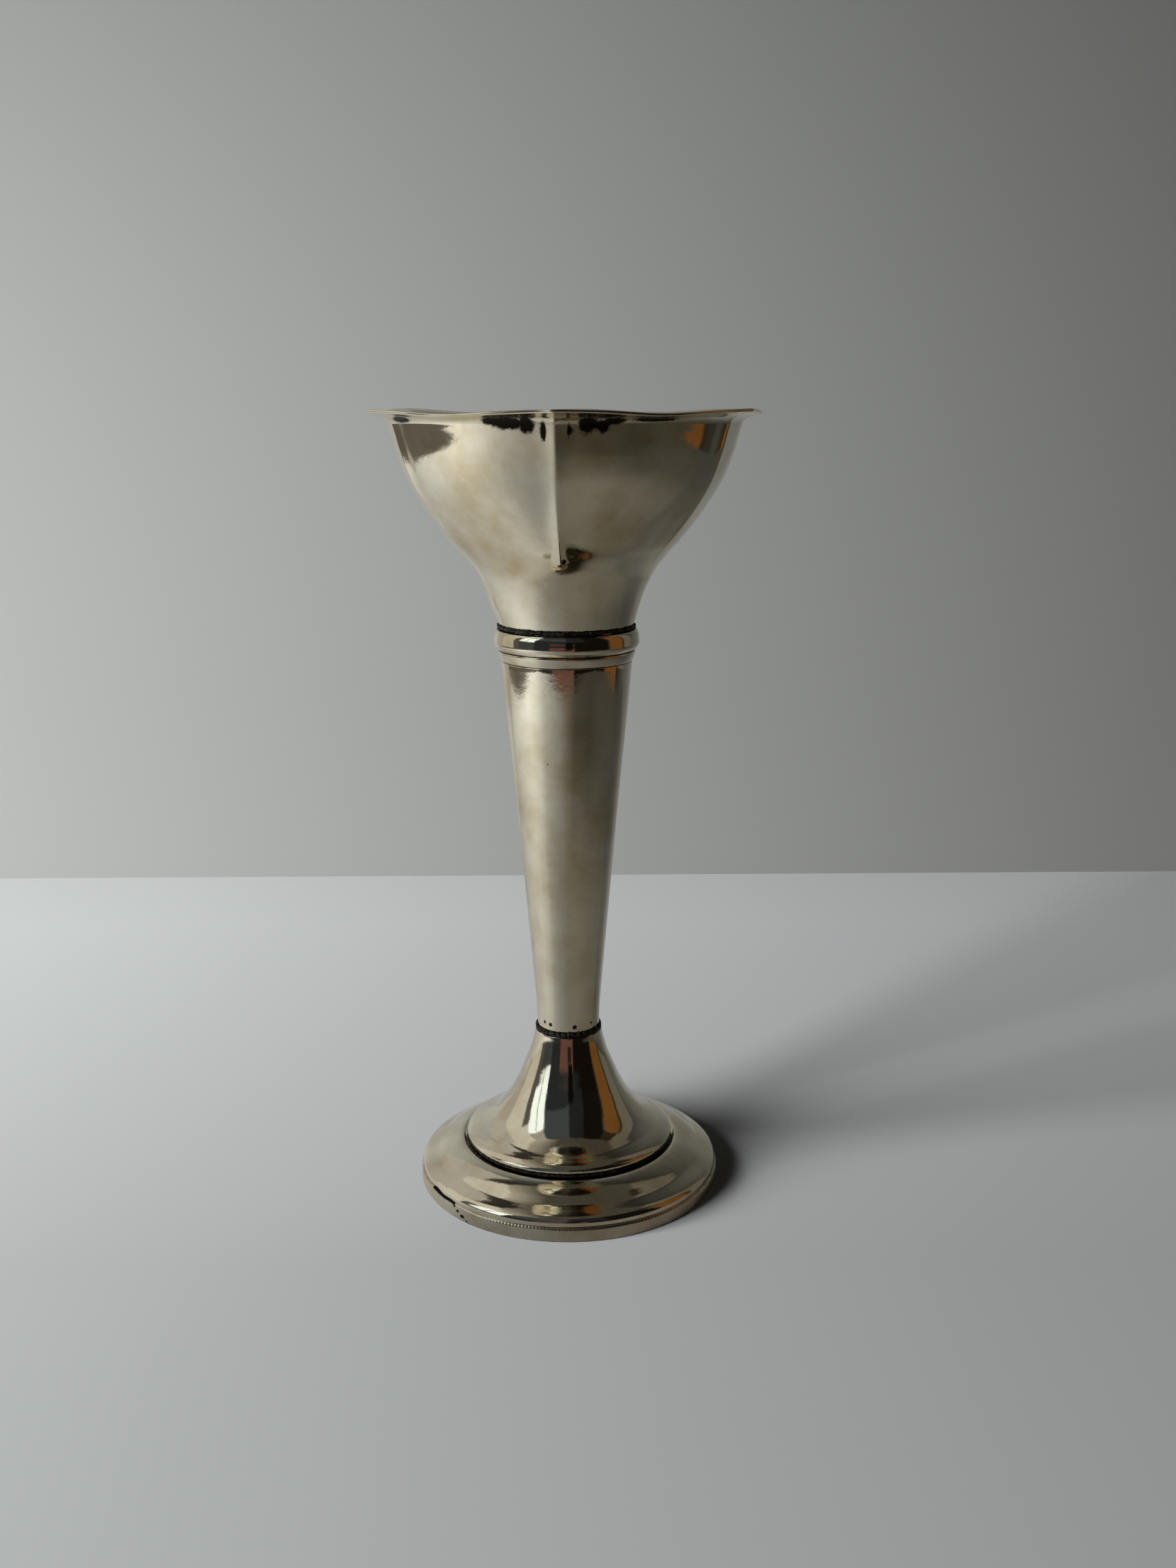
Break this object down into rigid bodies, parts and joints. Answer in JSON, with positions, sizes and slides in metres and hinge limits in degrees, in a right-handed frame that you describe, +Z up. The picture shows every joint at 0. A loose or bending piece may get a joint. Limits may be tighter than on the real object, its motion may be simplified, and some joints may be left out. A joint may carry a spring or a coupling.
{
  "type": "candlestick",
  "caption": "Tapered candlestick with a flared, panelled bowl, a hollow column that takes a candle, and a weighted stepped round foot.",
  "frame": {"origin": "centre of the underside, on the table", "axes": "+Z up along the column; -Y is the front, where one ridge of the bowl stands 3 degrees towards -X"},
  "size_m": [0.079, 0.0826, 0.1645],
  "materials": {
    "sheet_silver": "polished silver, softly tarnished and finely scratched",
    "cast_silver": "polished silver with dark tarnish in the recesses",
    "milled_silver": "worn milled silver, dull in the grooves",
    "solder": "blackened rough solder",
    "steel": "dull mild steel",
    "pitch": "set pitch and plaster filling",
    "baize": "short-napped green baize"
  },
  "bodies": {
    "root": {"bowl": "sheet_silver", "bowl_solder": "solder", "collar_bead": "cast_silver", "collar_wire": "cast_silver", "column_tube": "sheet_silver", "column_solder": "solder", "foot_bell": "sheet_silver", "foot_solder": "solder", "foot_flange": "sheet_silver", "foot_edge_band": "milled_silver", "candle_stop": "cast_silver", "stem_rod": "steel", "foot_loading": "pitch", "base_plate": "steel", "baize_pad": "baize"}
  },
  "joints": []
}
